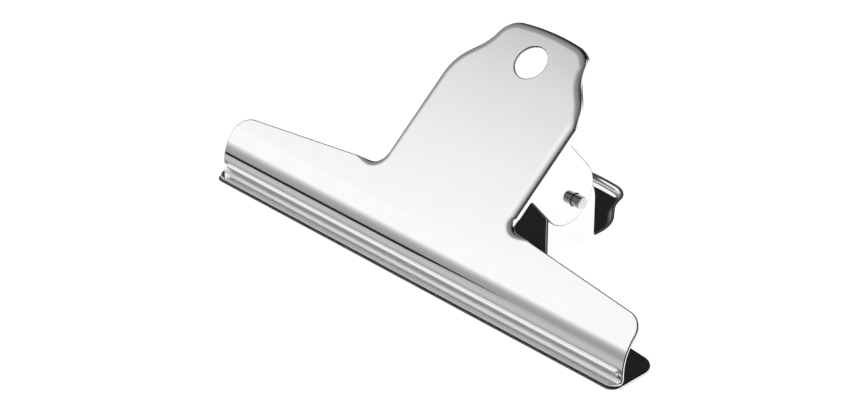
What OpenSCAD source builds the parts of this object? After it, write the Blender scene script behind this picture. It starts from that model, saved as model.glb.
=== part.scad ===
// Wide letter clip: a curved front jaw, a flat back jaw, the pivot pin and the torsion spring.
// The clip lies on its back jaw. X runs along the mouth, Y from the mouth to the handle tips, Z up.
// Each jaw is drawn in its own frame: X along the mouth, Y from the pivot axis to the handle tip,
// and Z from the sheet's outer face into the clip.

/* [Sheet] */
// Thickness of the sheet steel of both jaws
sheet_t = 0.8; // [0.6:0.05:1]

/* [Jaws] */
// Length of the mouth
jaw_length = 145; // [110:1:180]
// Distance from the pivot axis to the jaws' top edge, on the centre line
jaw_top = 15.2; // [13.5:0.1:17]
// Fall of the jaws' top edge towards each end, in degrees
jaw_fall = 6.3; // [2:0.1:9]
// Radius of the jaws' top corners
jaw_corner_r = 5.3; // [2:0.1:7]
// Distance from the pivot axis to the back jaw's mouth edge
mouth_reach = 39.4; // [38:0.1:43]
// Radius of the back jaw's mouth corners
back_corner_r = 2.5; // [1:0.1:5]

/* [Front profile] */
// Radius of the belly's outer face
belly_r = 12.7; // [10:0.1:13]
// Turn of the belly towards the mouth, in degrees
belly_turn = 50.6; // [45:0.1:52]
// Straight length between the belly and the crease
slope_length = 2.2; // [1.8:0.05:3]
// Radius of the crease between the belly and the lip
crease_r = 0.6; // [0.3:0.05:1]
// Length of the lip, from the crease to its edge
lip_length = 2.8; // [2.4:0.1:3.8]
// Distance of the lip's edge behind the back jaw's edge
lip_set_back = 0.5; // [0.1:0.05:0.9]
// Radius of the lip's corners
lip_corner_r = 3; // [2:0.1:5]
// Gap between the two lips at rest
mouth_gap = 0.1; // [0.05:0.01:0.3]
// Radius of the stiffening rib's section
rib_r = 1; // [0.8:0.05:1.2]
// Height of the rib above the sheet
rib_rise = 0.7; // [0.4:0.05:0.8]
// Distance of the rib's middle above the crease
rib_up = 1.9; // [1.6:0.05:2.2]
// Distance from the rib's round ends to the ends of the jaw
rib_end = 1.2; // [0.6:0.1:3]

/* [Handles] */
// Width of the front handle over its rims
handle_width = 46.3; // [42:0.1:50]
// Distance from the pivot axis to the handle tips
handle_reach = 33.4; // [32:0.1:38]
// Radius of the shoulder
shoulder_r = 14; // [12:0.1:15]
// Turn of the shoulder away from the handle's side, in degrees
shoulder_turn = 40; // [35:1:44]
// Straight length between the shoulder and the neck
shoulder_run = 2.75; // [1:0.05:4]
// Radius of the hollow neck
neck_r = 13.2; // [10:0.1:15]
// Slant of the tip's sides where the neck ends, in degrees
neck_slant = 14; // [10:1:20]
// Radius of the tip's corners
tip_corner_r = 6.75; // [5:0.05:8]
// Slant of the bowed tip edge where it meets its corners, in degrees
tip_slant = 7.8; // [6:0.1:10]
// Radius of the notches between the handle and the jaw
notch_r = 4; // [3:0.1:5]
// Depth of the turned-in rim, from the sheet's outer face
rim_depth = 2.7; // [2.2:0.1:3.5]
// Outer radius of the rim's bend
rim_bend_r = 1.4; // [1.1:0.05:1.8]
// Distance from the handle tips to the hang hole's centre
hole_set_back = 10; // [8:0.1:12]
// Diameter of the hang hole
hole_d = 9.4; // [6:0.1:11]

/* [Ears and pivot] */
// Width of the ears
ear_width = 17.8; // [15:0.1:20]
// Height of the ears, from the sheet's outer face
ear_height = 22.7; // [21.5:0.1:25]
// Radius where an ear grows out of the rim
ear_root_r = 0.8; // [0.4:0.1:1.5]
// Gap between the outer and the inner ears
ear_gap = 0.15; // [0.08:0.01:0.3]
// Height of the pivot axis above the outer face of each jaw
pin_height = 17.2; // [16.6:0.1:17.8]
// Diameter of the pin
pin_d = 3.3; // [2.5:0.1:4]
// Length of pin that stands out of each outer ear
pin_overhang = 2.7; // [1.5:0.1:4]
// Radial running clearance of the pin in the ears
pin_clearance = 0.05; // [0.02:0.01:0.1]
// Chamfer of the pin's ends
pin_chamfer = 0.25; // [0.1:0.05:0.5]

/* [Spring] */
// Diameter of the spring's wire
wire_d = 2; // [1.4:0.1:2.2]
// Radial room between the pin and the coil
coil_room = 0.55; // [0.4:0.05:0.8]
// Gap between neighbouring curls
coil_gap = 0.5; // [0.45:0.05:0.8]
// Whole turns of the coil
coil_turns = 9; // [6:1:10]
// Distance from the handle tips to the feet of the legs
leg_set_back = 11.4; // [9:0.1:15]
// Gap under the feet at rest
foot_gap = 0.1; // [0.05:0.01:0.3]

/* [Hidden] */
$fn = 96;
// Overrun of cuts past a face
over = 1;
// Length by which a bend runs into what it joins, and how much thinner than that it is on each face;
// the arcs of a flat outline stand as much proud of the straights that they meet
lap = 0.1;
seam = 0.005;
// Rings in one curl of the spring, sides of its wire and rings in a leg's bend
rings_per_curl = 8;
wire_sides = 6;
bend_rings = 4;

// Distance from the outline, inside the rim's bend, to the flat sheet's own edge
sheet_inset = rim_bend_r + lap / 2;
// Height in the rim at which the ears start
ear_foot = (rim_bend_r + rim_depth) / 2;

hole_reach = handle_reach - hole_set_back;
leg_reach = handle_reach - leg_set_back;
front_half = handle_width / 2;
back_half = front_half - sheet_t - ear_gap;
// Moves the middle of the clip's length onto the origin
centre_shift = (mouth_reach - handle_reach) / 2;

// Notch: the fillet's centre and its far end on the jaw's top edge, in a jaw's frame
function unit(a) = [cos(a), sin(a)];
function top_edge_y(x) = -jaw_top - x * tan(jaw_fall);
function notch_centre(half) = [half + notch_r, top_edge_y(half + notch_r) + notch_r / cos(jaw_fall)];
function notch_end(half) = notch_centre(half) - notch_r * [sin(jaw_fall), cos(jaw_fall)];

// Handle outline, from the tip corner down to the shoulder
function bow_r(half) = tip_corner_r + corner_x(half) / sin(tip_slant);
function corner_x(half) = half + shoulder_r * (cos(shoulder_turn) - 1) - shoulder_run * sin(shoulder_turn)
    + neck_r * (cos(shoulder_turn) - cos(neck_slant)) - tip_corner_r * cos(neck_slant);
function bow_centre(half) = [0, handle_reach - bow_r(half)];
function corner_centre(half) = bow_centre(half)
    + (bow_r(half) - tip_corner_r) * unit(90 - tip_slant);
function neck_centre(half) = corner_centre(half) + (tip_corner_r + neck_r) * unit(neck_slant);
function slope_top(half) = neck_centre(half) - neck_r * unit(shoulder_turn);
function slope_bottom(half) = slope_top(half) + shoulder_run * [sin(shoulder_turn), -cos(shoulder_turn)];
function shoulder_centre(half) = slope_bottom(half) - shoulder_r * unit(shoulder_turn);

// Front profile: the jaw closes until its lip lies on the back jaw, which gives the angle at rest
lip_face = 2 * sheet_t + mouth_gap;
crease_depth = belly_r * (1 - cos(belly_turn)) + slope_length * sin(belly_turn);
crease_from_axis = norm([mouth_reach - lip_set_back - lip_length, pin_height - lip_face]);
crease_along = sqrt(crease_from_axis ^ 2 - (pin_height - crease_depth) ^ 2);
crease = [crease_along, crease_depth];
rest_angle = atan2(pin_height - crease_depth, crease_along)
    + asin((pin_height - lip_face) / crease_from_axis);
belly_start = crease_along - belly_r * sin(belly_turn) - slope_length * cos(belly_turn);
crease_turn = belly_turn + rest_angle;
crease_cut = crease_r * tan(crease_turn / 2);
lip_start = crease + crease_cut * [cos(rest_angle), -sin(rest_angle)];
rib_line = crease - rib_up * unit(belly_turn) + (rib_r - rib_rise) * [-sin(belly_turn), cos(belly_turn)];

// Spring: the coil's radius, its pitch and the legs' bends, in the plane across the pin
coil_r = pin_d / 2 + coil_room + wire_d / 2;
coil_pitch = wire_d + coil_gap;
foot_height = sheet_t + foot_gap + wire_d;
leg_bend_r = wire_d;
bend_centre = [leg_reach - leg_bend_r, foot_height - pin_height];
leg_heading = atan2(bend_centre[1], bend_centre[0]) + 180
    + asin((coil_r + leg_bend_r) / norm(bend_centre));
coil_from = leg_heading + 90;
coil_sweep = 360 * coil_turns + 2 * coil_from - rest_angle - 360;
coil_steps = round(coil_sweep * rings_per_curl / 360);
coil_length = coil_pitch * coil_sweep / 360;

// Slice of a disc between two angles
module slice(r, from, to) {
    far = 2 * r;
    intersection() {
        circle(r = r);
        polygon([[0, 0], far * unit(from), far * unit((from + to) / 2), far * unit(to)]);
    }
}

module ring_slice(inner_r, outer_r, from, to) {
    difference() {
        slice(outer_r, from, to);
        circle(r = inner_r);
    }
}

module on_side(side) {
    mirror([side < 0 ? 1 : 0, 0, 0]) children();
}

// Handle's outline above the notches, drawn in by an inset
module handle_face(half, inset) {
    intersection() {
        translate(bow_centre(half)) circle(r = bow_r(half) - inset);
        difference() {
            union() {
                handle_core(half, inset);
                for (side = [1, -1]) on_side(side) {
                    translate(corner_centre(half)) circle(r = tip_corner_r - inset + seam);
                    translate(shoulder_centre(half)) circle(r = shoulder_r - inset + seam);
                }
            }
            for (side = [1, -1]) on_side(side)
                translate(neck_centre(half)) circle(r = neck_r + inset + seam);
        }
    }
}

function left_of(points) = [for (i = [len(points) - 1 : -1 : 0]) [-points[i][0], points[i][1]]];

// Straight-sided middle of the handle, through the ends of its arcs, and down into the jaw
module handle_core(half, inset) {
    corner = corner_centre(half);
    right = [
        [half - inset, top_edge_y(half + notch_r)],
        [half - inset, shoulder_centre(half)[1]],
        shoulder_centre(half) + (shoulder_r - inset) * unit(shoulder_turn),
        slope_top(half) - inset * unit(shoulder_turn),
        corner + (tip_corner_r - inset) * unit(neck_slant),
        corner + (tip_corner_r - inset) * unit(90 - tip_slant)
    ];
    polygon(concat(right, [[0, handle_reach]], left_of(right)));
}

// Flat outline of a jaw's T: its handle inside the rims and its jaw down to the mouth edge
module jaw_outline(half, mouth_y, mouth_r) {
    end_x = jaw_length / 2;
    corner_x = end_x - jaw_corner_r;
    top_corner = [corner_x, top_edge_y(corner_x) - jaw_corner_r / cos(jaw_fall)];
    low_corner = [end_x - mouth_r, mouth_y + mouth_r];
    notch = notch_centre(half);
    right = [
        low_corner - [0, mouth_r],
        low_corner + [mouth_r, 0],
        top_corner + [jaw_corner_r, 0],
        top_corner + jaw_corner_r * [sin(jaw_fall), cos(jaw_fall)],
        notch_end(half),
        notch - [notch_r, 0]
    ];
    notch_lap_turn = atan(lap / notch_r) / 2;
    difference() {
        union() {
            handle_face(half, sheet_inset);
            polygon(concat(right, left_of(right)));
            for (side = [1, -1]) on_side(side) {
                translate(top_corner) circle(r = jaw_corner_r + seam);
                translate(low_corner) circle(r = mouth_r + seam);
            }
        }
        for (side = [1, -1]) on_side(side)
            translate(notch) slice(
                notch_r + sheet_inset,
                180 - notch_lap_turn,
                270 - jaw_fall + notch_lap_turn
            );
    }
}

// Section of the turned-in rim: X from the outline outwards, Y into the clip
module rim_section(thinner) {
    inner = rim_bend_r - sheet_t + thinner;
    outer = rim_bend_r - thinner;
    translate([-rim_bend_r, rim_bend_r]) ring_slice(inner, outer, -90, 0);
    translate([inner - rim_bend_r, rim_bend_r])
        square([outer - inner, rim_depth - thinner - rim_bend_r]);
    translate([-rim_bend_r - lap, thinner]) square([lap, outer - inner]);
}

// Rim round an arc of the outline; a thin one laps into both of its neighbours
module rim_arc(centre, r, from, to, hollow, thin) {
    lap_turn = thin ? atan(lap / r) : 0;
    translate(centre) rotate(from - lap_turn) rotate_extrude(angle = to - from + 2 * lap_turn)
        translate([r, 0]) mirror([hollow ? 1 : 0, 0]) rim_section(thin ? seam : 0);
}

// Straight rim from a point along the direction to the left of its outward normal
module rim_run(start, normal, length) {
    translate(start) rotate(normal) translate([0, length, 0]) rotate([90, 0, 0])
        linear_extrude(length) rim_section(0);
}

// Rim along one side of the handle
module side_rim(half) {
    notch = notch_centre(half);
    shoulder = shoulder_centre(half);
    rim_arc(corner_centre(half), tip_corner_r, neck_slant, 90 - tip_slant, false, false);
    rim_arc(neck_centre(half), neck_r, 180 + neck_slant, 180 + shoulder_turn, true, true);
    rim_run(slope_bottom(half), shoulder_turn, shoulder_run);
    rim_arc(shoulder, shoulder_r, 0, shoulder_turn, false, true);
    rim_run([half, notch[1]], 0, shoulder[1] - notch[1]);
    difference() {
        rim_arc(notch, notch_r, 180, 270 - jaw_fall, true, true);
        notch_taper(half);
    }
}

// Cuts the rim down to the sheet round the notch
module notch_taper(half) {
    high = notch_centre(half)[1] + lap;
    low = notch_end(half)[1];
    sheet_face = sheet_t - 2 * seam;
    translate([half - rim_bend_r - over, 0, 0]) rotate([90, 0, 90])
        linear_extrude(notch_r + rim_bend_r + 2 * over) polygon([
            [high, rim_depth],
            [high, rim_depth + over],
            [low - rim_bend_r - over, rim_depth + over],
            [low - rim_bend_r - over, sheet_face],
            [low, sheet_face]
        ]);
}

// Ear in the plane across the pin
module ear_shape() {
    end_y = ear_height - ear_width / 2;
    root = [ear_width / 2 + ear_root_r, rim_depth + ear_root_r];
    translate([-ear_width / 2, ear_foot]) square([ear_width, end_y - ear_foot]);
    translate([0, end_y]) circle(d = ear_width);
    for (side = [1, -1]) on_side(side) difference() {
        translate([0, ear_foot]) square([root[0], root[1] - ear_foot]);
        translate(root) circle(r = ear_root_r);
    }
}

module ear(half) {
    translate([half - sheet_t, 0, 0]) rotate([90, 0, 90]) linear_extrude(sheet_t) ear_shape();
}

// Rim and ears right round a handle
module rims_and_ears(half) {
    rim_arc(bow_centre(half), bow_r(half), 90 - tip_slant, 90 + tip_slant, false, true);
    for (side = [1, -1]) on_side(side) {
        side_rim(half);
        ear(half);
    }
}

// Cuts for the pin and the hang hole
module bores(half) {
    translate([-half - over, 0, pin_height]) rotate([0, 90, 0])
        cylinder(r = pin_d / 2 + pin_clearance, h = 2 * (half + over));
    translate([0, hole_reach, -over]) cylinder(d = hole_d, h = sheet_t + 2 * over);
}

// Pieces of the front profile, each followed by what comes after it
module run(length) {
    square([length, sheet_t]);
    translate([length, 0]) children();
}

// Bend of the sheet, r to its outer face, that laps into the straights before and after it
module bend_in(r, turn) {
    lap_turn = atan(lap / r);
    translate([0, r]) ring_slice(r - sheet_t + seam, r - seam, -90 - lap_turn, turn - 90 + lap_turn);
    translate([r * sin(turn), r * (1 - cos(turn))]) rotate(turn) children();
}

module bend_out(r, turn) {
    lap_turn = atan(lap / (r + sheet_t));
    translate([0, -r]) ring_slice(r + seam, r + sheet_t - seam, 90 - turn - lap_turn, 90 + lap_turn);
}

// Sheet of the front jaw from its handle tip to the crease: X away from the tip, Y into the clip
module front_profile() {
    translate([-handle_reach, 0]) run(handle_reach + belly_start) bend_in(belly_r, belly_turn)
        run(slope_length - crease_cut) bend_out(crease_r, crease_turn);
}

// Flat lip with round corners, parallel to the back jaw at rest
module lip() {
    length = lip_length - crease_cut;
    corner = [jaw_length / 2 - lip_corner_r, lip_corner_r - length];
    right = [
        corner - [0, lip_corner_r],
        corner + [lip_corner_r, 0],
        [jaw_length / 2, lip_corner_r + over]
    ];
    translate([0, -lip_start[0], lip_start[1]]) rotate([rest_angle, 0, 0])
        linear_extrude(sheet_t) intersection() {
            translate([-jaw_length / 2, -length]) square([jaw_length, length]);
            union() {
                polygon(concat(right, left_of(right)));
                for (side = [1, -1]) on_side(side)
                    translate(corner) circle(r = lip_corner_r + seam);
            }
        }
}

// Raised rib along the end of the belly, with ball ends and a flat back inside the sheet
module rib() {
    half = jaw_length / 2 - rib_end - rib_r;
    translate([0, -rib_line[0], rib_line[1]]) rotate([-belly_turn, 0, 0]) intersection() {
        union() {
            rotate([0, 90, 0]) cylinder(r = rib_r, h = 2 * half, center = true);
            for (side = [1, -1]) translate([side * half, 0, 0]) rotate([0, 90, 0]) sphere(r = rib_r);
        }
        translate([-jaw_length / 2, -rib_r - over, -rib_r - over])
            cube([jaw_length, 2 * (rib_r + over), over + rib_rise + sheet_t / 2]);
    }
}

module back_jaw_sheet() {
    linear_extrude(sheet_t) jaw_outline(back_half, -mouth_reach, back_corner_r);
}

module front_jaw_sheet() {
    intersection() {
        rotate([90, 0, -90]) linear_extrude(jaw_length, center = true) front_profile();
        linear_extrude(ear_height) jaw_outline(front_half, -mouth_reach - over, sheet_t);
    }
    lip();
    rib();
}

// Puts a jaw drawn in its own frame into the front jaw's place at rest
module at_front() {
    translate([0, 0, pin_height]) rotate([rest_angle, 0, 0]) mirror([0, 0, 1])
        translate([0, 0, -pin_height]) children();
}

module back_jaw() {
    color("gainsboro") translate([0, centre_shift, 0]) difference() {
        union() {
            back_jaw_sheet();
            rims_and_ears(back_half);
        }
        bores(back_half);
    }
}

module front_jaw() {
    color("whitesmoke") translate([0, centre_shift, 0]) at_front() difference() {
        union() {
            front_jaw_sheet();
            rims_and_ears(front_half);
        }
        bores(front_half);
    }
}

module pivot_pin() {
    half = front_half + pin_overhang;
    color("silver") translate([0, centre_shift, pin_height]) rotate([0, 90, 0]) union() {
        cylinder(d = pin_d, h = 2 * (half - pin_chamfer), center = true);
        for (side = [1, -1]) translate([0, 0, side * (half - pin_chamfer / 2)])
            cylinder(
                d1 = pin_d - (side < 0 ? 2 * pin_chamfer : 0),
                d2 = pin_d - (side > 0 ? 2 * pin_chamfer : 0),
                h = pin_chamfer,
                center = true
            );
    }
}

// Wire's route as [x, y, z, heading]: the back leg and its mirror image, the front leg
function leg_bend_point(heading) = bend_centre + leg_bend_r * [sin(heading), -cos(heading)];
function leg_ring(p, heading) = [-coil_length / 2, p[0], p[1], heading];
back_leg = concat(
    [leg_ring([leg_reach, sheet_t + foot_gap - pin_height], 90)],
    [for (i = [0 : bend_rings])
        let (heading = 90 + (leg_heading - 90) * i / bend_rings)
        leg_ring(leg_bend_point(heading), heading)]
);
function mirrored(ring) = let (
    r = norm([ring[1], ring[2]]),
    a = rest_angle - atan2(ring[2], ring[1])
) [-ring[0], r * cos(a), r * sin(a), rest_angle - ring[3] + 180];
coil = [for (i = [0 : coil_steps])
    let (turned = i / coil_steps, a = coil_from - coil_sweep * turned)
    [coil_length * (turned - 1 / 2), coil_r * cos(a), coil_r * sin(a), a - 90]];
front_leg = [for (i = [len(back_leg) - 1 : -1 : 0]) mirrored(back_leg[i])];
route = concat(back_leg, coil, front_leg);

// Least gap of the coil to itself, measured between curls on the route's points
coil_self_gap = min([for (i = [0 : coil_steps - rings_per_curl + 1])
    for (j = [i + rings_per_curl - 1 : min(i + rings_per_curl + 1, coil_steps)])
        norm([for (k = [0 : 2]) coil[i][k] - coil[j][k]])]) - wire_d;
echo(least_gap_of_the_spring_to_itself = coil_self_gap);

module spring() {
    last = len(route) - 1;
    points = [for (ring = route) for (k = [0 : wire_sides - 1])
        let (a = 360 * k / wire_sides, rise = wire_d / 2 * cos(a), aside = wire_d / 2 * sin(a))
        [ring[0] + aside, ring[1] - rise * sin(ring[3]), ring[2] + rise * cos(ring[3])]];
    skin = [for (i = [0 : last - 1]) for (k = [0 : wire_sides - 1])
        let (a = i * wire_sides + k, b = i * wire_sides + (k + 1) % wire_sides)
        each [[a, a + wire_sides, b], [b, a + wire_sides, b + wire_sides]]];
    caps = [for (k = [1 : wire_sides - 2])
        each [[0, k, k + 1], [last * wire_sides, last * wire_sides + k + 1, last * wire_sides + k]]];
    color("darkgray") translate([0, centre_shift, pin_height])
        polyhedron(points = points, faces = concat(skin, caps));
}

back_jaw();
front_jaw();
pivot_pin();
spring();
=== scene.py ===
"""Wide letter clip of plated steel, dressed and lit as it lies on a white table.

The jaws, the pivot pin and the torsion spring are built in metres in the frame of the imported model.
X runs along the mouth, Y from the mouth to the handle tips, and Z up from the table. Each jaw is
first laid out in its own frame: x along the mouth, u from the pivot axis to the handle tip, and
w from the sheet's outer face into the clip.
"""

import logging
import math
from dataclasses import dataclass
from enum import Enum
from typing import NamedTuple

import bmesh
import bpy
from mathutils import Matrix, Vector


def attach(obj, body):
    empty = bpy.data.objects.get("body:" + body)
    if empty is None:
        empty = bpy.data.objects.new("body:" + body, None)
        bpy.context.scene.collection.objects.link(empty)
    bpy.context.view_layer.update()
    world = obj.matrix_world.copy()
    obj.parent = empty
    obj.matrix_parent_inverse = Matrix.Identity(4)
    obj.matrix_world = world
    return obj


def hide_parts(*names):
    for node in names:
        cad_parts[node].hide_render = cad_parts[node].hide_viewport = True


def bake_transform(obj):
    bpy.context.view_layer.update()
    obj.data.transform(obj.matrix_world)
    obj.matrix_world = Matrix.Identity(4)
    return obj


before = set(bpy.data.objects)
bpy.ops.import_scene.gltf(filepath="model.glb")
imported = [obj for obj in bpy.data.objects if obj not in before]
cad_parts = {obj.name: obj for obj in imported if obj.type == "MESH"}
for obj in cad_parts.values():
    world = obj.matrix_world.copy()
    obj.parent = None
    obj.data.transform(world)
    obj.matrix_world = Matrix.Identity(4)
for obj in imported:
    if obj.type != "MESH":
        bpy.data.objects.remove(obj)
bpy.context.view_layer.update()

MM = 0.001
TURN = 2 * math.pi
QUARTER = TURN / 4
PIVOT = Vector((0.0, 3.0 * MM, 17.2 * MM))
REST_ANGLE = math.radians(39.2856)
REST_COS, REST_SIN = math.cos(REST_ANGLE), math.sin(REST_ANGLE)
POINT_GAP = 1e-7
FULL_SPECULAR = 0.5
FULL_WEIGHT = 100
LOG = logging.getLogger("letter_clip")

Mesh = bmesh.types.BMesh
Verts = list[bmesh.types.BMVert]
Tree = bpy.types.NodeTree
Socket = bpy.types.NodeSocket
Colour = tuple[float, float, float]
Row = tuple[float, list[float]]
Pairs = tuple[tuple[float, float], ...]


def unit(angle: float) -> Vector:
    """Returns the flat direction at an angle in radians."""
    return Vector((math.cos(angle), math.sin(angle)))


def arc_points(centre: Vector, r: float, start: float, end: float, steps: int) -> list[Vector]:
    """Lists the points of a flat arc from one angle to another, with both ends."""
    return [centre + r * unit(start + (end - start) * i / steps) for i in range(steps + 1)]


def link(piece: bpy.types.Object) -> bpy.types.Object:
    """Puts an object into the scene and returns it."""
    bpy.context.scene.collection.objects.link(piece)
    return piece


def as_object(mesh: Mesh, name: str) -> bpy.types.Object:
    """Turns a finished mesh into an object of the scene.

    Args:
        mesh: The mesh, which is freed.
        name: The name of the object and of its data.

    Returns:
        The object, with no material yet.
    """
    data = bpy.data.meshes.new(name)
    mesh.to_mesh(data)
    mesh.free()
    return link(bpy.data.objects.new(name, data))


def add_face(mesh: Mesh, corners: Verts) -> None:
    """Adds a smooth face.

    Args:
        mesh: The mesh to add to.
        corners: The face's vertices in order, of which repeated ones are left out.
    """
    ring = [c for i, c in enumerate(corners) if c is not corners[i - 1]]
    if len(ring) > 2:
        mesh.faces.new(ring).smooth = True


def join_rings(mesh: Mesh, rings: list[Verts]) -> None:
    """Joins closed rings of vertices, one to the next.

    Args:
        mesh: The mesh to add to.
        rings: Rings with as many vertices each, or with one where they close in a point.
    """
    for low, high in zip(rings, rings[1:]):
        count = max(len(low), len(high))
        for k in range(count):
            n = (k + 1) % count
            corners = [low[k % len(low)], low[n % len(low)]]
            corners += [high[n % len(high)], high[k % len(high)]]
            add_face(mesh, corners)


def even_shading(piece: bpy.types.Object) -> None:
    """Lets the large faces of a piece set its shading."""
    piece.modifiers.new("even_shading", "WEIGHTED_NORMAL").weight = FULL_WEIGHT


def feed(tree: Tree, node: bpy.types.Node, inputs: dict) -> None:
    """Sets or links a node's inputs.

    Args:
        tree: The tree of the node.
        node: The node.
        inputs: For each input's name or place, a value or another node's output.
    """
    for key, value in inputs.items():
        if isinstance(value, Socket):
            tree.links.new(value, node.inputs[key])
        else:
            node.inputs[key].default_value = value


def add_node(
    tree: Tree, kind: str, inputs: dict | None = None, **settings: object
) -> bpy.types.NodeOutputs:
    """Adds a node.

    Args:
        tree: The tree to add to.
        kind: The node's type, without the words that all types start with.
        inputs: For each input's name or place, a value or another node's output.
        settings: The node's own properties.

    Returns:
        The node's outputs.
    """
    node = tree.nodes.new("ShaderNode" + kind)
    for name, value in settings.items():
        setattr(node, name, value)
    feed(tree, node, inputs or {})
    return node.outputs


def add_ramp(tree: Tree, value: Socket, shades: Pairs) -> Socket:
    """Adds a grey ramp.

    Args:
        tree: The tree to add to.
        value: The output that the brightness follows.
        shades: Pairs of a value, rising or falling, and the brightness there.

    Returns:
        The output that gives the brightness.
    """
    first, last = shades[0][0], shades[-1][0]
    share = add_node(tree, "MapRange", {"Value": value, "From Min": first, "From Max": last})
    node = tree.nodes.new("ShaderNodeValToRGB")
    stops = node.color_ramp.elements
    stops.remove(stops[-1])
    for i, (level, shade) in enumerate(shades):
        spot = (level - first) / (last - first)
        stop = stops[0] if i == 0 else stops.new(spot)
        stop.position = spot
        stop.color = (shade, shade, shade, 1.0)
    feed(tree, node, {"Fac": share["Result"]})
    return node.outputs["Color"]


class Station(NamedTuple):
    """One stop on a handle's outline, with the shape that its rim has there."""

    place: Vector
    outward: Vector
    turn: float
    flange: float


class Side(Enum):
    """The two sides of the clip, as the sign of x."""

    RIGHT = 1
    LEFT = -1


class Layer(Enum):
    """The materials of a pressing, as their order on it."""

    SHEET = 0
    CUT_FACE = 1
    CUT_EDGE = 2


@dataclass(frozen=True)
class Plating:
    """Bright plating on steel, with the faint haze and waviness of a polished pressing.

    Attributes:
        haze: What the coarse grain adds to the roughness.
        edge_ease: How far from an edge the shading turns already.
        wear: The share of the colour that the coarse grain keeps.
    """

    name: str
    colour: Colour = (0.972, 0.97, 0.99)
    roughness: float = 0.03
    haze: float = 0.05
    metal: float = 1.0
    edge_ease: float = 0.4 * MM
    edge_samples: int = 6
    grain: float = 140.0
    grain_detail: float = 5.0
    grain_range: tuple[float, float] = (0.3, 0.75)
    wear: float = 0.97

    def material(self) -> bpy.types.Material:
        """Makes the finish's node material, once for each name.

        Returns:
            The material.
        """
        made = bpy.data.materials.get(self.name)
        if not made:
            made = bpy.data.materials.new(self.name)
            made.use_nodes = True
            self.fill(made.node_tree)
        return made

    def fill(self, tree: Tree) -> None:
        """Fills the material's node tree.

        Args:
            tree: The tree, with the shader in it.
        """
        eased = add_node(tree, "Bevel", {"Radius": self.edge_ease}, samples=self.edge_samples)
        place = add_node(tree, "TexCoord")
        wave = {"Vector": place["Object"], "Scale": self.grain, "Detail": self.grain_detail}
        noise = add_node(tree, "TexNoise", wave)
        spread = {
            "Value": noise["Fac"],
            "From Min": self.grain_range[0],
            "From Max": self.grain_range[1],
            "To Min": self.roughness,
            "To Max": self.roughness + self.haze,
        }
        shader = {
            "Metallic": self.metal,
            "Specular IOR Level": FULL_SPECULAR * self.metal,
            "Normal": eased["Normal"],
            "Roughness": add_node(tree, "MapRange", spread)["Result"],
            "Base Color": self.tint(tree, noise["Fac"], tuple(c * self.wear for c in self.colour)),
        }
        feed(tree, tree.nodes["Principled BSDF"], shader)

    def tint(self, tree: Tree, share: Socket, other: Colour) -> Socket:
        """Returns the output of a mix of the finish's colour with a share of another one."""
        mix = {"Fac": share, "Color1": (*self.colour, 1.0), "Color2": (*other, 1.0)}
        return add_node(tree, "MixRGB", mix)["Color"]


@dataclass(frozen=True)
class EdgeShade(Plating):
    """Painted shade: a near-black colour on the sheet's rounded edges, standing in for the dark they
    mirror, left out on the edges of the open mouth.
    """

    mouth_y: float = -34.0 * MM
    gap_z: float = 0.9 * MM
    gap_half: float = 0.45 * MM
    mouth_colour: Colour = (0.95, 0.95, 0.96)

    def fill(self, tree: Tree) -> None:
        """Fills the node tree, plated bright at the mouth but for a band at the gap between the lips,
        which keeps the painted shade as the gap's painted shadow.

        Args:
            tree: The tree, with the shader in it.
        """
        super().fill(tree)
        place = add_node(tree, "TexCoord")
        split = add_node(tree, "SeparateXYZ", {"Vector": place["Object"]})
        mouth = add_node(tree, "Math", {0: split["Y"], 1: self.mouth_y}, operation="LESS_THAN")
        # The band at the gap between the lips stays dark: a painted shadow.
        gap_inputs = {0: split["Z"], 1: self.gap_z, 2: self.gap_half}
        gap = add_node(tree, "Math", gap_inputs, operation="COMPARE")
        both = {0: mouth["Value"], 1: gap["Value"]}
        bright = add_node(tree, "Math", both, operation="SUBTRACT", use_clamp=True)["Value"]
        shader = {"Metallic": bright, "Base Color": self.tint(tree, bright, self.mouth_colour)}
        feed(tree, tree.nodes["Principled BSDF"], shader)


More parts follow.
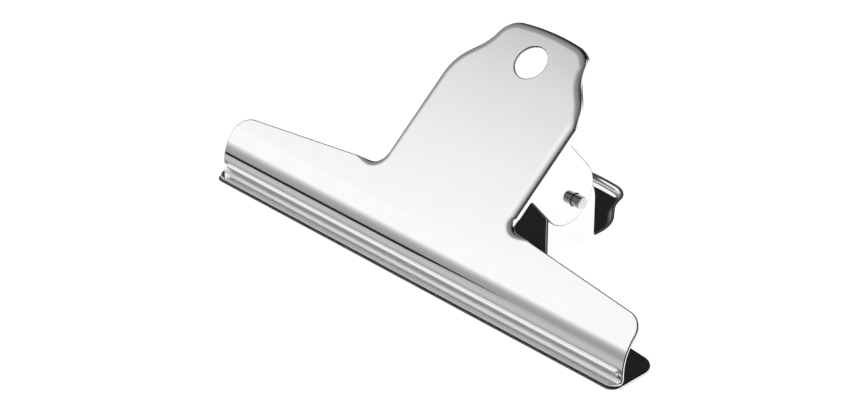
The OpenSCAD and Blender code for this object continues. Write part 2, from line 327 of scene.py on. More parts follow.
@dataclass
class JawPressing:
    """A T-shaped steel pressing: a handle with a turned-in rim and two ears, and a wide jaw.

    Heights along the sheet are counted from the pin's axis, and depths from its outer face.

    Attributes:
        half: Half of the handle's width over the ears.
        jaw_top: How far below the axis the jaw's top edge would meet the middle line.
        jaw_fall: The slope of that edge towards the ends.
        bend_run: The length of the rim's bend along the sheet.
        bend_ease: How late the bend tightens, with 0 for an even one.
        bend_least: The least share of that length where the rim fades.
        flange_share: The share of the notch's arc over which the rim's flange ends.
        fade_run: How far past the notch the bend fades.
    """

    name: str
    node: str
    body: str
    half: float
    finish: Plating
    cut_finish: Plating
    painted_edge_shade: Plating
    sheet_t: float = 0.8 * MM
    edge_r: float = 0.2 * MM
    edge_segments: int = 3
    edge_angle: float = math.radians(50.0)
    end_x: float = 72.5 * MM
    jaw_top: float = 15.2 * MM
    jaw_fall: float = math.radians(6.3)
    jaw_corner_r: float = 5.3 * MM
    mouth_reach: float = 39.4 * MM
    handle_reach: float = 33.4 * MM
    shoulder_r: float = 14.0 * MM
    shoulder_turn: float = math.radians(40.0)
    shoulder_run: float = 2.75 * MM
    neck_r: float = 13.2 * MM
    neck_slant: float = math.radians(14.0)
    tip_corner_r: float = 6.75 * MM
    tip_slant: float = math.radians(7.8)
    notch_r: float = 4.0 * MM
    rim_depth: float = 2.7 * MM
    rim_bend_r: float = 1.4 * MM
    hole_reach: float = 23.4 * MM
    hole_r: float = 4.7 * MM
    ear_half: float = 8.9 * MM
    ear_height: float = 22.7 * MM
    ear_root_r: float = 0.8 * MM
    pin_height: float = 17.2 * MM
    bore_r: float = 1.7 * MM
    bend_run: float = 3.19 * MM
    bend_ease: float = 2.0
    bend_steps: int = 14
    bend_parts: int = 8
    bend_least: float = 0.1
    flange_share: float = 0.48
    fade_run: float = 5.0 * MM
    fade_ease: float = 1.3
    bow_steps: int = 6
    tip_steps: int = 18
    neck_steps: int = 10
    shoulder_steps: int = 14
    notch_steps: int = 12
    fade_steps: int = 5
    hole_steps: int = 36
    root_steps: int = 6
    ear_steps: int = 20
    bore_steps: int = 16
    corner_steps: int = 16
    faces_up: bool = False

    def place(self, x: float, u: float, w: float) -> Vector:
        """Moves a point from the jaw's own frame into the clip's frame at rest."""
        raise NotImplementedError

    def top_edge_u(self, x: float) -> float:
        """Returns the height of the jaw's top edge at a place along the mouth."""
        return -self.jaw_top - x * math.tan(self.jaw_fall)

    def notch_centre(self) -> Vector:
        """Returns the middle of the fillet between the handle and the jaw."""
        x = self.half + self.notch_r
        return Vector((x, self.top_edge_u(x) + self.notch_r / math.cos(self.jaw_fall)))

    def top_corner(self) -> Vector:
        """Returns the middle of the jaw's rounded top corner."""
        x = self.end_x - self.jaw_corner_r
        return Vector((x, self.top_edge_u(x) - self.jaw_corner_r / math.cos(self.jaw_fall)))

    def stations(self) -> list[Station]:
        """Walks down the right side of the handle, from the tip's middle to the notch's end.

        Returns:
            The stops, each with its outward direction and its rim's bend and flange.
        """
        flange = self.rim_depth - self.rim_bend_r
        corner_x = (
            self.half
            + self.shoulder_r * (math.cos(self.shoulder_turn) - 1)
            - self.shoulder_run * math.sin(self.shoulder_turn)
            + self.neck_r * (math.cos(self.shoulder_turn) - math.cos(self.neck_slant))
            - self.tip_corner_r * math.cos(self.neck_slant)
        )
        bow_r = self.tip_corner_r + corner_x / math.sin(self.tip_slant)
        bow = Vector((0.0, self.handle_reach - bow_r))
        corner = bow + (bow_r - self.tip_corner_r) * unit(QUARTER - self.tip_slant)
        neck = corner + (self.tip_corner_r + self.neck_r) * unit(self.neck_slant)
        slope = unit(self.shoulder_turn)
        slope_top = neck - self.neck_r * slope
        slope_low = slope_top + self.shoulder_run * Vector((slope.y, -slope.x))
        shoulder = slope_low - self.shoulder_r * slope
        notch = self.notch_centre()
        found: list[Station] = []

        def arc(centre: Vector, r: float, start: float, end: float, steps: int) -> None:
            """Adds an arc's stops, leaving out a first one that is there already.

            Args:
                centre: The arc's middle.
                r: Its radius, below zero where the outline is hollow.
                start: Its first outward angle.
                end: Its last outward angle.
                steps: How many parts it has.
            """
            for i in range(1 if found else 0, steps + 1):
                out = unit(start + (end - start) * i / steps)
                found.append(Station(centre + r * out, out, QUARTER, flange))

        tip_end = QUARTER - self.tip_slant
        arc(bow, bow_r, QUARTER, tip_end, self.bow_steps)
        arc(corner, self.tip_corner_r, tip_end, self.neck_slant, self.tip_steps)
        arc(neck, -self.neck_r, self.neck_slant, self.shoulder_turn, self.neck_steps)
        found.append(Station(slope_low, slope, QUARTER, flange))
        arc(shoulder, self.shoulder_r, self.shoulder_turn, 0.0, self.shoulder_steps)
        side = Vector((1.0, 0.0))
        found.append(Station(Vector((self.half, 0.0)), side, QUARTER, flange))
        found.append(Station(Vector((self.half, notch.y)), side, QUARTER, flange))
        return found + self.notch_stations(flange)

    def notch_stations(self, flange: float) -> list[Station]:
        """Walks round the notch and a little past it, where the rim fades into the flat sheet.

        Args:
            flange: The depth of the rim's flange before the notch.

        Returns:
            The stops, with their fading bend and flange.
        """
        notch = self.notch_centre()
        sweep = QUARTER - self.jaw_fall
        arc_end = sweep * self.notch_r
        flange_end = self.flange_share * sweep * self.notch_r
        runs = [arc_end * i / self.notch_steps for i in range(1, self.notch_steps + 1)]
        past_steps = range(1, self.fade_steps + 1)
        runs += [arc_end + self.fade_run * i / self.fade_steps for i in past_steps]
        found = []
        for s in runs:
            out = unit(min(s / self.notch_r, sweep))
            past = max(0.0, s - arc_end)
            left = max(0.0, 1.0 - s / flange_end)
            fade = max(0.0, (s - flange_end) / (arc_end + self.fade_run - flange_end))
            spot = notch - self.notch_r * out + past * Vector((out.y, -out.x))
            bend = QUARTER * (1.0 - fade**self.fade_ease)
            found.append(Station(spot, out, bend, flange * left))
        return found

    def bend_section(self, turn: float) -> list[Vector]:
        """Draws the rim's bend, which tightens steadily from the flat sheet to the flange.

        Args:
            turn: The bend's whole turn.

        Returns:
            Points as the distance outwards and the depth, from the bend's start.
        """
        total = self.bend_steps * self.bend_parts
        step = self.bend_run * max(self.bend_least, turn / QUARTER) / total
        spot = Vector((0.0, 0.0))
        section = [spot.copy()]
        for i in range(total):
            heading = turn * ((i + 0.5) / total) ** self.bend_ease
            spot = spot + step * unit(heading)
            if (i + 1) % self.bend_parts == 0:
                section.append(spot.copy())
        return section

    def rim_row(self, mesh: Mesh, side: Side, stop: Station) -> Verts:
        """Adds the rim's section at one stop, from the flat sheet to the flange's edge.

        Args:
            mesh: The mesh to add to.
            side: The side of the handle.
            stop: The stop on the outline.

        Returns:
            The section's vertices, with one repeated where a part has no length.
        """
        section = self.bend_section(stop.turn)
        reach = stop.flange * math.cos(stop.turn)
        inset = section[-1].x + reach
        row = [(stop.place + (p.x - inset) * stop.outward, p.y) for p in section]
        flat, depth = row[-1]
        row.append((flat + reach * stop.outward, depth + stop.flange * math.sin(stop.turn)))
        made = []
        last = None
        for flat, depth in row:
            spot = self.place(side.value * flat.x, flat.y, depth)
            if last is None or (spot - last).length > POINT_GAP:
                made.append(mesh.verts.new(spot))
                last = spot
            else:
                made.append(made[-1])
        return made

    def flat_edge(self) -> list[Vector]:
        """Lists the plain edge from the notch's end to the foot of the flat sheet."""
        raise NotImplementedError

    def below_flat(self, mesh: Mesh, ends: Verts) -> None:
        """Adds what the sheet has below its flat part, from that part's lowest vertices."""

    def foot_u(self) -> float:
        """Returns where the flat sheet ends towards the mouth."""
        raise NotImplementedError

    def skin(self) -> Mesh:
        """Builds the outer face of the whole pressing.

        Returns:
            The open skin, in the clip's frame at rest.
        """
        mesh = bmesh.new()
        stops = self.stations()
        middle = self.rim_row(mesh, Side.RIGHT, stops[0])
        hole = Vector((0.0, self.hole_reach))
        heights = (hole.y - self.hole_r, hole.y + self.hole_r, self.foot_u())
        hole_low, hole_top, foot = [mesh.verts.new(self.place(0.0, u, 0.0)) for u in heights]
        ring = arc_points(hole, self.hole_r, -QUARTER, QUARTER, self.hole_steps)
        ends = {}
        for side in Side:
            rows = [middle] + [self.rim_row(mesh, side, s) for s in stops[1:]]
            self.rim(mesh, side, stops, rows)
            edge = [
                mesh.verts.new(self.place(side.value * p.x, p.y, self.depth(p.y)))
                for p in self.flat_edge()
            ]
            bore = [mesh.verts.new(self.place(side.value * p.x, p.y, 0.0)) for p in ring[1:-1]]
            outline = [row[0] for row in rows] + rows[-1][1:] + edge
            outline += [foot, hole_low] + bore + [hole_top]
            add_face(mesh, outline)
            ends[side] = edge[-1]
        self.below_flat(mesh, [ends[Side.LEFT], foot, ends[Side.RIGHT]])
        bmesh.ops.recalc_face_normals(mesh, faces=mesh.faces)
        mesh.normal_update()
        widest = max(mesh.faces, key=lambda f: f.calc_area())
        if (widest.normal.z > 0) != self.faces_up:
            bmesh.ops.reverse_faces(mesh, faces=mesh.faces)
        return mesh

    def depth(self, u: float) -> float:
        """Returns how far the outer face lies behind the handle's plane."""
        return 0.0

    def rim(self, mesh: Mesh, side: Side, stops: list[Station], rows: list[Verts]) -> None:
        """Joins the rim's sections along one side, with the ear in its straight run.

        Args:
            mesh: The mesh to add to.
            side: The side of the handle.
            stops: The stops on the outline.
            rows: The section at each stop.
        """
        axis = next(i for i, s in enumerate(stops) if s.place.y == 0.0)
        for i in range(len(rows) - 1):
            for j in range(self.bend_steps + 1):
                if j == self.bend_steps and i in (axis - 1, axis):
                    continue
                low, high = rows[i][j : j + 2], rows[i + 1][j : j + 2]
                add_face(mesh, low + high[::-1])
        mesh.verts.remove(rows[axis][-1])
        self.ear(mesh, side, rows[axis - 1 : axis + 2])

    def ear(self, mesh: Mesh, side: Side, rows: list[Verts]) -> None:
        """Adds the ear with its bore, in two halves that meet at the pin.

        Args:
            mesh: The mesh to add to.
            side: The side of the handle.
            rows: The rim's sections before, at and after the axis.
        """
        x = side.value * self.half
        shank = self.ear_height - self.ear_half
        low, top = self.pin_height - self.bore_r, self.pin_height + self.bore_r
        middle = [mesh.verts.new(self.place(x, 0.0, w)) for w in (low, self.ear_height, top)]
        bend_end = self.bend_steps
        root = Vector((self.ear_half + self.ear_root_r, self.rim_depth + self.ear_root_r))
        spots = arc_points(root, -self.ear_root_r, QUARTER, 0.0, self.root_steps)
        spots += arc_points(Vector((0.0, shank)), self.ear_half, 0.0, QUARTER, self.ear_steps)[:-1]
        axle = Vector((0.0, self.pin_height))
        ring = arc_points(axle, self.bore_r, QUARTER, -QUARTER, self.bore_steps)[1:-1]
        for way, ahead in ((1, rows[0]), (-1, rows[2])):
            outline = [mesh.verts.new(self.place(x, way * p.x, p.y)) for p in spots]
            bore = [mesh.verts.new(self.place(x, way * p.x, p.y)) for p in ring]
            start = [rows[1][bend_end], ahead[bend_end], ahead[bend_end + 1]]
            add_face(mesh, start + outline + middle[1:] + bore + middle[:1])

    def build(self) -> bpy.types.Object:
        """Builds the pressing, thickens its sheet and rounds its cut edges.

        Returns:
            The pressing's object, riding on its body.
        """
        piece = as_object(self.skin(), self.name)
        finishes = {
            Layer.SHEET: self.finish,
            Layer.CUT_FACE: self.cut_finish,
            Layer.CUT_EDGE: self.painted_edge_shade,
        }
        for layer in Layer:
            piece.data.materials.append(finishes[layer].material())
        thick = piece.modifiers.new("sheet", "SOLIDIFY")
        thick.thickness = self.sheet_t
        thick.offset = -1.0
        thick.use_even_offset = True
        thick.use_quality_normals = True
        thick.material_offset_rim = Layer.CUT_FACE.value
        rounded = piece.modifiers.new("cut_edges", "BEVEL")
        rounded.width = self.edge_r
        rounded.segments = self.edge_segments
        rounded.use_clamp_overlap = False
        rounded.limit_method = "ANGLE"
        rounded.angle_limit = self.edge_angle
        # The rounded cut edges take the painted edge shade.
        rounded.material = Layer.CUT_EDGE.value
        even_shading(piece)
        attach(piece, self.body)
        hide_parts(self.node)
        return piece


@dataclass
class BackJaw(JawPressing):
    """The lower pressing, flat to its mouth edge, with the inner ears."""

    mouth_corner_r: float = 2.5 * MM
    mouth_steps: int = 12

    def place(self, x: float, u: float, w: float) -> Vector:
        """Moves a point from the jaw's own frame into the clip's frame at rest."""
        return Vector((x, PIVOT.y + u, w))

    def foot_u(self) -> float:
        """Returns the mouth edge, to which this sheet is flat."""
        return -self.mouth_reach

    def flat_edge(self) -> list[Vector]:
        """Lists the plain edge from the notch's end to the foot of the flat sheet.

        Returns:
            Its points, round both corners to the mouth edge.
        """
        top = self.top_corner()
        low = Vector((self.end_x - self.mouth_corner_r, self.mouth_corner_r - self.mouth_reach))
        start = QUARTER - self.jaw_fall
        spots = arc_points(top, self.jaw_corner_r, start, 0.0, self.corner_steps)
        return spots + arc_points(low, self.mouth_corner_r, 0.0, -QUARTER, self.mouth_steps)


@dataclass
class FrontJaw(JawPressing):
    """The upper pressing, with a belly, a raised rib, a crease and a lip along its mouth.

    Attributes:
        belly_start: How far below the axis the flat sheet goes over into the belly.
        slope_length: The straight length from the belly to where it would meet the lip.
        lip_length: The lip's length from there to the mouth edge.
        rib_up: How far up the slope from there the rib's middle line lies.
    """

    belly_r: float = 12.7 * MM
    belly_turn: float = math.radians(50.6)
    belly_start: float = 26.5456 * MM
    slope_length: float = 2.2 * MM
    crease_r: float = 0.6 * MM
    crease_turn: float = math.radians(50.6) + REST_ANGLE
    lip_length: float = 2.8 * MM
    lip_corner_r: float = 3.0 * MM
    rib_r: float = 1.0 * MM
    rib_rise: float = 0.7 * MM
    rib_up: float = 1.9 * MM
    rib_end: float = 1.2 * MM
    rib_fillet_r: float = 0.35 * MM
    corner_steps: int = 14
    faces_up: bool = True
    belly_steps: int = 22
    rib_steps: int = 10
    fillet_steps: int = 4
    crease_steps: int = 10
    lip_steps: int = 14

    @property
    def belly_s(self) -> float:
        """The distance along the face at which the belly ends."""
        return self.belly_r * self.belly_turn

    @property
    def crease_cut(self) -> float:
        """The length that the crease takes off the slope and off the lip."""
        return self.crease_r * math.tan(self.crease_turn / 2)

    @property
    def slope_s(self) -> float:
        """The distance along the face at which the straight slope ends."""
        return self.belly_s + self.slope_length - self.crease_cut

    @property
    def rib_s(self) -> float:
        """The distance along the face of the rib's middle line."""
        return self.belly_s + self.slope_length - self.rib_up

    @property
    def rib_x(self) -> float:
        """The place along the mouth at which the rib's rounded end starts."""
        return self.end_x - self.rib_end - self.rib_r

    @property
    def rib_reach(self) -> float:
        """The distance between the middles of the rib's round and of its fillet."""
        return self.rib_r + self.rib_fillet_r

    @property
    def rib_foot(self) -> float:
        """Half of the rib's width at its foot."""
        sunk = self.rib_r - self.rib_rise
        return math.sqrt(self.rib_reach**2 - (sunk + self.rib_fillet_r) ** 2)

    def place(self, x: float, u: float, w: float) -> Vector:
        """Moves a point from the jaw's own frame into the clip's frame at rest."""
        drop = w - self.pin_height
        return PIVOT + Vector((x, u * REST_COS + drop * REST_SIN, u * REST_SIN - drop * REST_COS))

    def foot_u(self) -> float:
        """Returns where the belly starts."""
        return -self.belly_start

    def depth(self, u: float) -> float:
        """Returns how far the outer face lies behind the handle's plane."""
        past = max(0.0, -self.belly_start - u)
        return self.belly_r - math.sqrt(self.belly_r**2 - past**2)

    def edge_x(self, u: float) -> float:
        """Returns the jaw's half length at a height on its top corner or below it."""
        top = self.top_corner()
        return top.x + math.sqrt(max(0.0, self.jaw_corner_r**2 - max(0.0, u - top.y) ** 2))

    def flat_edge(self) -> list[Vector]:
        """Lists the plain edge from the notch's end to the foot of the flat sheet.

        Returns:
            Its points, round the top corner to the belly.
        """
        top = self.top_corner()
        start = QUARTER - self.jaw_fall
        end = math.asin((-self.belly_start - top.y) / self.jaw_corner_r)
        return arc_points(top, self.jaw_corner_r, start, end, self.corner_steps)

    def rib_height(self, away: float) -> float:
        """Returns how far the rib stands out of the sheet.

        Args:
            away: The distance from the rib's middle line.

        Returns:
            The height, with a small fillet at the rib's foot.
        """
        foot = self.rib_foot
        if away >= foot:
            return 0.0
        if away <= foot * self.rib_r / self.rib_reach:
            return math.sqrt(self.rib_r**2 - away**2) - (self.rib_r - self.rib_rise)
        return self.rib_fillet_r - math.sqrt(self.rib_fillet_r**2 - (foot - away) ** 2)

    def profile(self, s: float) -> tuple[Vector, Vector]:
        """Follows the outer face from the belly's start towards the lip.

        Args:
            s: The distance along the face.

        Returns:
            The point and the outward normal there, as u and w.
        """
        belly_s, slope_s = self.belly_s, self.slope_s
        centre = Vector((-self.belly_start, self.belly_r))
        turn = min(s, belly_s) / self.belly_r
        out = Vector((-math.sin(turn), -math.cos(turn)))
        spot = centre + self.belly_r * out
        if s <= belly_s:
            return spot, out
        ahead = Vector((-math.cos(turn), math.sin(turn)))
        spot = spot + (min(s, slope_s) - belly_s) * ahead
        if s <= slope_s:
            return spot, out
        centre = spot + self.crease_r * out
        turn -= (s - slope_s) / self.crease_r
        out = Vector((-math.sin(turn), -math.cos(turn)))
        return centre - self.crease_r * out, out

    def row(self, mesh: Mesh, s: float, columns: list[float]) -> Verts:
        """Adds one row of vertices along the mouth, raised where the rib is.

        Args:
            mesh: The mesh to add to.
            s: The row's distance along the face.
            columns: Its places along the mouth.

        Returns:
            The row's vertices, from left to right.
        """
        spot, out = self.profile(s)
        made = []
        for x in columns:
            away = math.hypot(s - self.rib_s, max(0.0, abs(x) - self.rib_x))
            p = spot + self.rib_height(away) * out
            made.append(mesh.verts.new(self.place(x, p.x, p.y)))
        return made

    def strip(self, mesh: Mesh, low: Verts, high: Verts) -> None:
        """Joins two rows, face by face, or half by half where their columns differ.

        Args:
            mesh: The mesh to add to.
            low: The first row, from left to right.
            high: The next row, from left to right.
        """
        if len(low) == len(high):
            for i in range(len(low) - 1):
                add_face(mesh, low[i : i + 2] + high[i : i + 2][::-1])
            return
        a, b = len(low) // 2, len(high) // 2
        add_face(mesh, low[: a + 1] + high[: b + 1][::-1])
        add_face(mesh, low[a:] + high[b:][::-1])

    def below_flat(self, mesh: Mesh, ends: Verts) -> None:
        """Adds the belly, the rib, the crease and the lip.

        Args:
            mesh: The mesh to add to.
            ends: The vertices at the foot of the flat, from left to right.
        """
        last = ends
        for s, columns in self.belly_rows() + self.rib_rows() + self.crease_rows():
            new = self.row(mesh, s, columns)
            self.strip(mesh, last, new)
            last = new
        self.lip(mesh, last)

    def belly_rows(self) -> list[Row]:
        """Lists the rows between the flat sheet and the rib.

        Returns:
            Each row's distance along the face and its columns.
        """
        rows = []
        for i in range(1, self.belly_steps):
            s = (self.rib_s - self.rib_foot) * i / self.belly_steps
            x = self.edge_x(self.profile(s)[0].x)
            rows.append((s, [-x, 0.0, x]))
        return rows

    def rib_rows(self) -> list[Row]:
        """Lists the rows across the rib.

        Returns:
            The rows, at equal turns of the rib's round and its fillets.
        """
        side_turn = math.asin(self.rib_foot / self.rib_reach)
        turns = [side_turn * i / self.rib_steps for i in range(self.rib_steps + 1)]
        steps = [self.rib_r * math.sin(turn) for turn in turns]
        left = [1 - i / self.fillet_steps for i in range(1, self.fillet_steps + 1)]
        steps += [self.rib_foot - self.rib_fillet_r * math.sin(side_turn * k) for k in left]
        half = [0.0, *(self.rib_x + d for d in steps), self.end_x]
        columns = [-x for x in reversed(half[1:])] + half
        spots = [self.rib_s - d for d in reversed(steps)]
        spots += [self.rib_s + d for d in steps[1:]]
        return [(s, columns) for s in spots]

    def crease_rows(self) -> list[Row]:
        """Lists the rows round the crease.

        Returns:
            The rows, the last one drawn in at the lip's corners.
        """
        rows = []
        for i in range(self.crease_steps + 1):
            x = self.end_x
            if i == self.crease_steps:
                x = self.lip_edge(self.lip_narrow)[0]
            s = self.slope_s + self.crease_r * self.crease_turn * i / self.crease_steps
            rows.append((s, [-x, 0.0, x]))
        return rows

    @property
    def lip_run(self) -> float:
        """The length of the lip past the crease."""
        return self.lip_length - self.crease_cut

    @property
    def lip_narrow(self) -> float:
        """The turn at which the lip's corner leaves the crease."""
        return math.asin(1 - self.lip_run / self.lip_corner_r)

    def lip_edge(self, turn: float) -> tuple[float, float]:
        """Returns a point of the lip's corner, along the mouth and away from the crease."""
        x = self.end_x - self.lip_corner_r + self.lip_corner_r * math.cos(turn)
        return x, self.lip_run - self.lip_corner_r * (1 - math.sin(turn))

    def lip(self, mesh: Mesh, last: Verts) -> None:
        """Adds the flat lip with its rounded corners.

        Args:
            mesh: The mesh to add to.
            last: The crease's last row, from left to right.
        """
        spot, out = self.profile(self.slope_s + self.crease_r * self.crease_turn)
        ahead = Vector((out.y, -out.x))
        edge = mesh.verts.new(self.place(0.0, *(spot + self.lip_run * ahead)))
        narrow = self.lip_narrow
        for side in Side:
            end = last[-1] if side is Side.RIGHT else last[0]
            arc = []
            for i in range(1, self.lip_steps + 1):
                x, run = self.lip_edge(narrow + (QUARTER - narrow) * i / self.lip_steps)
                p = spot + run * ahead
                arc.append(mesh.verts.new(self.place(side.value * x, p.x, p.y)))
            add_face(mesh, [last[1], end, *arc, edge])


@dataclass
class PivotPin:
    """Round steel pin through all four ears, with its ends standing out."""

    finish: Plating
    end_finish: Plating
    radius: float = 1.65 * MM
    half: float = 25.85 * MM
    end_round: float = 0.25 * MM
    end_facing: float = 0.5
    round_steps: int = 5
    sides: int = 64

    def profile(self) -> list[tuple[float, float]]:
        """Draws the pin's outline.

        Returns:
            Pairs of a radius and a place along the pin.
        """
        half_outline = [(0.0, -self.half)]
        for i in range(self.round_steps + 1):
            turn = QUARTER * i / self.round_steps
            radius = self.radius - self.end_round * (1 - math.sin(turn))
            half_outline.append((radius, -self.half + self.end_round * (1 - math.cos(turn))))
        return half_outline + [(r, -x) for r, x in reversed(half_outline)]

    def build(self) -> bpy.types.Object:
        """Turns the pin on its axis.

        Returns:
            The pin's object, riding on the back jaw.
        """
        mesh = bmesh.new()
        rings = []
        for r, x in self.profile():
            count = self.sides if r else 1
            spots = [unit(TURN * k / self.sides) * r for k in range(count)]
            rings.append([mesh.verts.new(PIVOT + Vector((x, p.x, p.y))) for p in spots])
        join_rings(mesh, rings)
        bmesh.ops.recalc_face_normals(mesh, faces=mesh.faces)
        piece = as_object(mesh, "pin_turned")
        piece.data.materials.append(self.finish.material())
        piece.data.materials.append(self.end_finish.material())
        # The side faces take the finish painted dark as shade, the end faces the lighter one.
        for face in piece.data.polygons:
            face.material_index = int(abs(face.normal.x) > self.end_facing)
        even_shading(piece)
        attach(piece, "back")
        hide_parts("pivot_pin")
        return piece


@dataclass
class TorsionSpring:
    """Torsion spring wound round the pin, with one leg on each handle.

    Attributes:
        leg_reach: How far from the axis the feet lie.
        foot_height: The height of the middle of the back foot's bend.
        blend_reach: How far to each side of the middle the coil winds up.
    """

    finish: Plating
    wire_d: float = 2.0 * MM
    coil_r: float = 3.2 * MM
    pitch: float = 2.5 * MM
    turns: int = 9
    leg_reach: float = 22.0 * MM
    foot_height: float = 2.9 * MM
    blend_reach: float = 11.6 * MM
    rings_per_turn: int = 28
    foot_steps: int = 10
    wire_sides: int = 16

    def route(self) -> list[Vector]:
        """Lays out the wire's middle line from the back foot, round the pin, to the front foot.

        Returns:
            Points in the clip's frame, in metres.
        """
        bend_r = self.wire_d
        centre = Vector((self.leg_reach - bend_r, self.foot_height - PIVOT.z))
        heading = math.atan2(centre.y, centre.x) + math.pi
        heading += math.asin((self.coil_r + bend_r) / centre.length)
        start = heading + QUARTER
        sweep = TURN * (self.turns - 1) + 2 * start - REST_ANGLE
        length = self.pitch * sweep / TURN
        back = [Vector((self.leg_reach, centre.y - bend_r))]
        for i in range(self.foot_steps + 1):
            turn = QUARTER + (heading - QUARTER) * i / self.foot_steps
            back.append(centre + bend_r * Vector((math.sin(turn), -math.cos(turn))))
        points = [Vector((-length / 2, p.x, p.y)) for p in back]
        count = round(sweep * self.rings_per_turn / TURN)
        for i in range(count + 1):
            turned = i / count
            spot = self.coil_r * unit(start - sweep * turned)
            points.append(Vector((length * (turned - 0.5), spot.x, spot.y)))
        for p in reversed(back):
            spot = p.length * unit(REST_ANGLE - math.atan2(p.y, p.x))
            points.append(Vector((length / 2, spot.x, spot.y)))
        return [p + PIVOT for p in points]

    def build(self) -> bpy.types.Object:
        """Sweeps the wire along its route.

        Returns:
            The spring's object, its place baked into its mesh.
        """
        points = self.route()
        mesh = bmesh.new()
        rings = []
        aside = Vector((1.0, 0.0, 0.0))
        for i, point in enumerate(points):
            ahead = points[min(i + 1, len(points) - 1)] - points[max(i - 1, 0)]
            ahead.normalize()
            aside = (aside - ahead * aside.dot(ahead)).normalized()
            up = ahead.cross(aside)
            ring = []
            for k in range(self.wire_sides):
                spot = unit(TURN * k / self.wire_sides) * self.wire_d / 2
                ring.append(mesh.verts.new(point + aside * spot.x + up * spot.y))
            rings.append(ring)
        join_rings(mesh, rings)
        mesh.faces.new(list(reversed(rings[0])))
        mesh.faces.new(rings[-1])
        piece = as_object(mesh, "spring_coil")
        piece.data.materials.append(self.finish.material())
        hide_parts("spring")
        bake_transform(piece)
        return piece


@dataclass(frozen=True)
class Card:
    """A level card that only the metal sees, with its brightness at places along Y."""

    name: str
    outline: Pairs
    z: float
    shades: Pairs
    from_below: bool = False


@dataclass(frozen=True)
class Gradient:
    """The surroundings' brightness for values of the product with a direction."""

    way: tuple[float, float, float]
    shades: Pairs


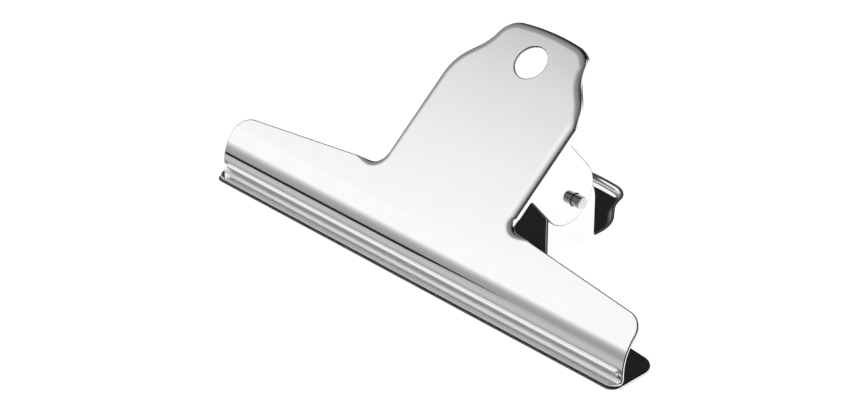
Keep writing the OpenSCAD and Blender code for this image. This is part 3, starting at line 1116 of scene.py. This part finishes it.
@dataclass
class Studio:
    """White table, what the metal mirrors, a soft light and the camera at the photo's angle.

    Attributes:
        aside: The camera's shift to the right, below zero to the left.
        above: Its shift upwards in the picture.
        table_glow: The table's own light, which only the camera and mirrors see.
        surroundings: The gradients that are multiplied with each other.
    """

    azimuth: float = math.radians(45.69)
    elevation: float = math.radians(29.82)
    distance: float = 694.0 * MM
    aside: float = -21.42 * MM
    above: float = 5.31 * MM
    lens: float = 111.3
    sensor: float = 36.0
    near: float = 10.0 * MM
    table_half: float = 4.0
    table_white: Colour = (0.82, 0.82, 0.82)
    table_glow: float = 0.8
    lamp_spot: tuple[float, float, float] = (0.7, 0.7, 0.36)
    lamp_size: float = 0.8
    lamp_power: float = 2.0
    cards: tuple[Card, ...] = (
        # Painted shadow: the front card's dark and grey bands stand in for the table's shadow in
        # front of the mouth, as the metal mirrors it.
        Card(
            "front_card",
            ((-3.9, -3.9), (3.9, -3.9), (3.9, -0.0366), (-3.9, -0.0366)),
            0.2 * MM,
            (
                *((-0.0366, 0.95), (-0.0379, 0.9), (-0.0383, 0.05), (-0.0397, 0.06)),
                *((-0.0422, 0.5), (-0.05, 0.55), (-0.057, 0.48), (-0.066, 0.48)),
                *((-0.09, 0.35), (-0.6, 0.36)),
            ),
        ),
        # Painted shade: a dark sheet in front of the mouth, seen by the metal only from below, that
        # darkens the mirrored rib underside and lip.
        Card(
            "mouth_flag",
            ((-0.0725, -0.0366), (0.0725, -0.0366), (0.0725, -0.0346), (-0.0725, -0.0346)),
            2.9 * MM,
            ((-0.0346, 0.06), (-0.0366, 0.06)),
            from_below=True,
        ),
        Card(
            "front_gap",
            ((-3.9, -0.059), (-0.02, -0.059), (0.003, -0.08), (-0.025, -0.089), (-3.9, -0.089)),
            0.4 * MM,
            ((-0.059, 0.02), (-0.089, 0.02)),
        ),
        Card(
            "side_card",
            ((0.066, 0.0), (0.16, -0.02), (1.2, -0.05), (1.2, 0.6), (0.3, 0.3), (0.108, 0.08)),
            0.4 * MM,
            ((0.6, 0.02), (-0.05, 0.02)),
        ),
        Card(
            "back_card",
            ((-0.5, 0.06), (-0.03, 0.06), (-0.03, 0.6), (-0.5, 0.6)),
            0.4 * MM,
            ((0.6, 0.04), (0.06, 0.04)),
        ),
    )
    surroundings: tuple[Gradient, ...] = (
        Gradient(
            (1.0, 0.0, 0.0),
            (
                *((-0.58, 1.0), (-0.3, 0.92), (0.02, 0.76), (0.38, 0.52)),
                *((0.7, 0.3), (0.87, 0.15), (0.95, 0.06), (0.985, 0.02)),
            ),
        ),
        Gradient(
            (0.12, -1.0, -0.5),
            (
                *((-0.95, 0.015), (-0.88, 0.05), (-0.7, 0.15), (-0.45, 0.28), (-0.33, 0.28)),
                *((-0.215, 0.32), (-0.15, 0.5), (-0.12, 0.74), (-0.08, 0.9), (-0.04, 1.0)),
            ),
        ),
        Gradient(
            (0.0, 0.0, 1.0),
            ((0.0, 0.35), (0.02, 0.37), (0.09, 0.42), (0.17, 0.62), (0.27, 1.0)),
        ),
    )

    def camera(self) -> None:
        """Places the camera and makes it the scene's."""
        sin, cos = math.sin(self.azimuth), math.cos(self.azimuth)
        flat = math.cos(self.elevation)
        ahead = Vector((-sin * flat, cos * flat, -math.sin(self.elevation)))
        right = Vector((cos, sin, 0.0))
        up = right.cross(ahead)
        foot = Vector((0.0, PIVOT.y, 0.0))
        spot = foot + self.aside * right + self.above * up - self.distance * ahead
        data = bpy.data.cameras.new("camera")
        data.lens = self.lens
        data.sensor_width = self.sensor
        data.clip_start = self.near
        camera = link(bpy.data.objects.new("camera", data))
        turn = Matrix((right, up, -ahead)).transposed().to_4x4()
        camera.matrix_world = Matrix.Translation(spot) @ turn
        bpy.context.scene.camera = camera

    def plane(self, name: str, outline: Pairs, z: float) -> bpy.types.Object:
        """Lays a level sheet as part of the stage.

        Args:
            name: The sheet's name.
            outline: Its corners, in metres.
            z: Its height.

        Returns:
            The sheet's object, with an empty node material.
        """
        mesh = bmesh.new()
        mesh.faces.new([mesh.verts.new((x, y, z)) for x, y in outline])
        bmesh.ops.recalc_face_normals(mesh, faces=mesh.faces)
        sheet = as_object(mesh, name)
        material = bpy.data.materials.new(name)
        material.use_nodes = True
        material.node_tree.nodes.clear()
        sheet.data.materials.append(material)
        return sheet

    def table(self) -> None:
        """Lays the white table top, which keeps the clip's shadow."""
        end = self.table_half
        top = self.plane("table_top", ((-end, -end), (end, -end), (end, end), (-end, end)), 0.0)
        tree = top.data.materials[0].node_tree
        seen = 0.0
        path = add_node(tree, "LightPath")
        for ray in ("Is Camera Ray", "Is Glossy Ray", "Is Transmission Ray"):
            either = {0: seen, 1: path[ray]}
            seen = add_node(tree, "Math", either, operation="MAXIMUM")["Value"]
        level = add_node(tree, "Math", {0: seen, 1: self.table_glow}, operation="MULTIPLY")
        diffuse = add_node(tree, "BsdfDiffuse", {"Color": (*self.table_white, 1.0)})
        glow = add_node(tree, "Emission", {"Strength": level["Value"]})
        both = add_node(tree, "AddShader", {0: diffuse["BSDF"], 1: glow["Emission"]})
        add_node(tree, "OutputMaterial", {"Surface": both["Shader"]})

    def lay_card(self, card: Card) -> None:
        """Lays a card where the metal mirrors it and nothing else sees it.

        Args:
            card: What the card looks like.
        """
        sheet = self.plane(card.name, card.outline, card.z)
        sheet.visible_camera = False
        sheet.visible_diffuse = False
        sheet.visible_shadow = False
        tree = sheet.data.materials[0].node_tree
        place = add_node(tree, "TexCoord")
        split = add_node(tree, "SeparateXYZ", {"Vector": place["Object"]})
        level = add_ramp(tree, split["Y"], card.shades)
        surface = add_node(tree, "Emission", {"Color": level})["Emission"]
        if card.from_below:
            if sheet.data.polygons[0].normal.z > 0:
                sheet.data.flip_normals()
            side = add_node(tree, "NewGeometry")["Backfacing"]
            clear = add_node(tree, "BsdfTransparent")["BSDF"]
            surface = add_node(tree, "MixShader", {"Fac": side, 1: surface, 2: clear})["Shader"]
        add_node(tree, "OutputMaterial", {"Surface": surface})

    def lamp(self) -> None:
        """Hangs a square softbox that faces the clip."""
        data = bpy.data.lights.new("side_softbox", "AREA")
        data.size = self.lamp_size
        data.energy = self.lamp_power
        lamp = link(bpy.data.objects.new("side_softbox", data))
        lamp.location = self.lamp_spot
        lamp.rotation_euler = Vector(self.lamp_spot).to_track_quat("Z", "Y").to_euler()
        lamp.visible_camera = False

    def world(self) -> None:
        """Surrounds the clip, bright in front and to the left, darker behind and to the right."""
        world = bpy.data.worlds.new("studio")
        world.use_nodes = True
        tree = world.node_tree
        way = add_node(tree, "TexCoord")["Generated"]
        level = (1.0, 1.0, 1.0, 1.0)
        for side in self.surroundings:
            product = add_node(tree, "VectorMath", {0: way, 1: side.way}, operation="DOT_PRODUCT")
            shade = add_ramp(tree, product["Value"], side.shades)
            both = {"Fac": 1.0, "Color1": level, "Color2": shade}
            level = add_node(tree, "MixRGB", both, blend_type="MULTIPLY")["Color"]
        camera_ray = add_node(tree, "LightPath")["Is Camera Ray"]
        seen = {"Fac": camera_ray, "Color1": level, "Color2": (1.0, 1.0, 1.0, 1.0)}
        shade = add_node(tree, "MixRGB", seen)["Color"]
        feed(tree, tree.nodes["Background"], {"Color": shade})
        bpy.context.scene.world = world

    def build(self) -> None:
        """Sets up the table, the cards, the light and the camera."""
        self.table()
        for card in self.cards:
            self.lay_card(card)
        self.lamp()
        self.world()
        self.camera()
        bpy.context.scene.view_settings.view_transform = "Standard"


def main() -> None:
    """Builds the clip and its studio."""
    logging.basicConfig(level=logging.INFO, format="%(message)s")
    Studio().build()
    plate = Plating("plated_sheet")
    cut = Plating("plated_cut_face", (0.95, 0.95, 0.96), roughness=0.42, haze=0.15)
    # Painted shade: the near-black cut-edge colour stands in for the shade along the rounded edges
    # and in the gap between the lips.
    edge = EdgeShade("painted_shade_cut_edge", (0.03, 0.03, 0.035), roughness=0.4, haze=0.15, metal=0.0)
    # Painted shade: the pin's side is painted dark for the dark the rod mirrors; its ends keep the
    # lighter steel.
    pin_side_painted_shade = Plating("pin_side_painted_shade", (0.34, 0.33, 0.32), roughness=0.1, haze=0.15)
    pin_end = Plating("pin_end", (0.8, 0.8, 0.81), roughness=0.25, haze=0.15)
    wire = Plating("drawn_wire", (0.5, 0.5, 0.52), roughness=0.2, haze=0.15)
    for part in (
        BackJaw("back_pressing", "back_jaw", "back", 22.2 * MM, plate, cut, edge),
        FrontJaw("front_pressing", "front_jaw", "front", 23.15 * MM, plate, cut, edge),
        PivotPin(pin_side_painted_shade, pin_end),
        TorsionSpring(wire),
    ):
        piece = part.build()
        LOG.info("%s: built from %d faces", piece.name, len(piece.data.polygons))


if __name__ == "__main__":
    main()
